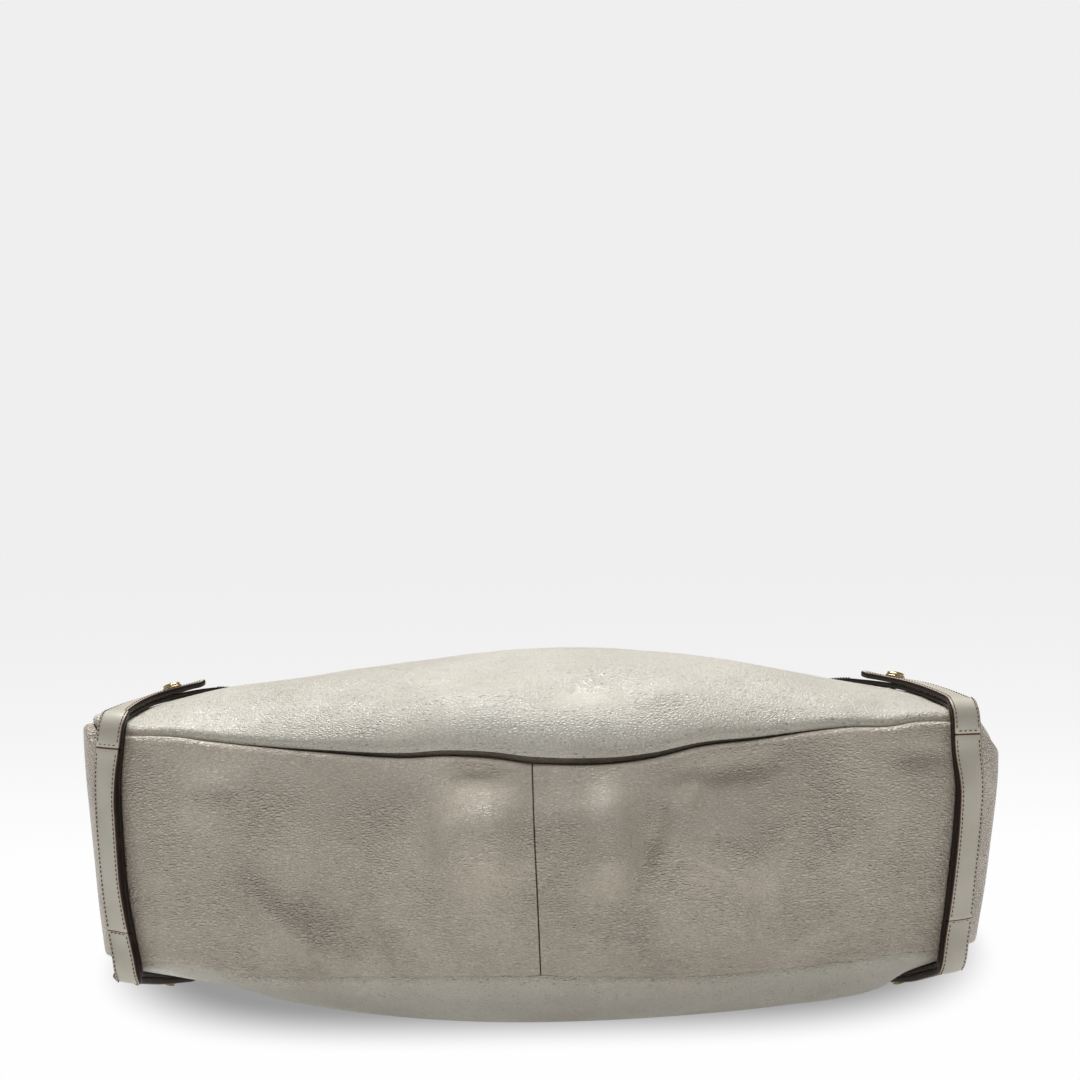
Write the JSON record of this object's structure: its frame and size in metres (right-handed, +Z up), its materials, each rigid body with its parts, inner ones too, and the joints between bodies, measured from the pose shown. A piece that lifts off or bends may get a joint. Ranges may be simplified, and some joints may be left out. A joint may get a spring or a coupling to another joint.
{
  "type": "hobo bag",
  "caption": "Soft leather hobo shoulder bag lying on its back, with a gusset base, corner belts, ringed shoulder strap, snap tab and zip pocket.",
  "frame": {"origin": "centre of the flat patch of the back panel that the bag lies on", "axes": "+X to the right along the base, +Y from the base to the mouth and out along the strap, +Z up out of the back panel"},
  "size_m": [0.4554, 0.6014, 0.191],
  "materials": {
    "pebbled_leather": "pebbled grain, satin",
    "strap_leather": "smooth grain, satin, edges painted dark brown",
    "lining_cloth": "twill weave",
    "pocket_cloth": "plain weave",
    "felt": "needled felt",
    "zip_tape": "ribbed tape",
    "brass": "polished, lacquered"
  },
  "bodies": {
    "bag": {"front_panel": "pebbled_leather", "back_panel": "pebbled_leather", "gusset_left": "pebbled_leather", "gusset_right": "pebbled_leather", "front_facing": "strap_leather", "back_facing": "strap_leather", "lining_front": "lining_cloth", "lining_back": "lining_cloth", "lining_gusset": "lining_cloth", "base_felt": "felt", "slip_pocket": "pocket_cloth", "pocket_bag": "pocket_cloth", "pocket_frame": "strap_leather", "pocket_zip_tape": "zip_tape", "pocket_zip_coil": "brass", "side_strap_left": "strap_leather", "side_strap_right": "strap_leather", "belt_front_left": "strap_leather", "belt_base_left": "strap_leather", "belt_back_left": "strap_leather", "belt_front_right": "strap_leather", "belt_base_right": "strap_leather", "belt_back_right": "strap_leather", "stud_heads": "brass", "stud_washers": "brass", "ring_tab_left": "strap_leather", "ring_tab_right": "strap_leather", "ring_tab_rivets": "brass", "snap_socket": "brass", "snap_washer": "brass", "closure_anchor": "strap_leather"},
    "strap": {"strap_outer": "strap_leather", "strap_inner": "strap_leather", "strap_end_left": "strap_leather", "strap_end_right": "strap_leather", "strap_rivets": "brass"},
    "ring_left": {"ring_left": "brass"},
    "ring_right": {"ring_right": "brass"},
    "closure": {"closure_tab": "strap_leather", "snap_plug": "brass", "snap_cap": "brass"},
    "slider": {"pocket_slider": "brass"},
    "pull": {"pocket_pull": "brass", "pocket_pull_tab": "strap_leather"}
  },
  "joints": [
    {"name": "strap_swing", "type": "hinge", "parent": "bag", "child": "strap", "pos_m": [0, 0.196, 0.034], "axis": [1, 0, 0], "range_deg": [0, 118]},
    {"name": "ring_left_spin", "type": "hinge", "parent": "bag", "child": "ring_left", "pos_m": [-0.1478, 0.196, 0.034], "axis": [1, 0, 0], "continuous": true},
    {"name": "ring_right_spin", "type": "hinge", "parent": "bag", "child": "ring_right", "pos_m": [0.1478, 0.196, 0.034], "axis": [1, 0, 0], "continuous": true},
    {"name": "closure_fold", "type": "hinge", "parent": "bag", "child": "closure", "pos_m": [0, 0.1525, 0.0123], "axis": [1, 0, 0], "range_deg": [-105, 0]},
    {"name": "zip_slide", "type": "slide", "parent": "bag", "child": "slider", "axis": [1, 0, 0], "range_m": [0, 0.124]},
    {"name": "pull_flip", "type": "hinge", "parent": "slider", "child": "pull", "pos_m": [-0.0626, 0.062, 0.0093], "axis": [0, 1, 0], "range_deg": [-150, 0]}
  ]
}
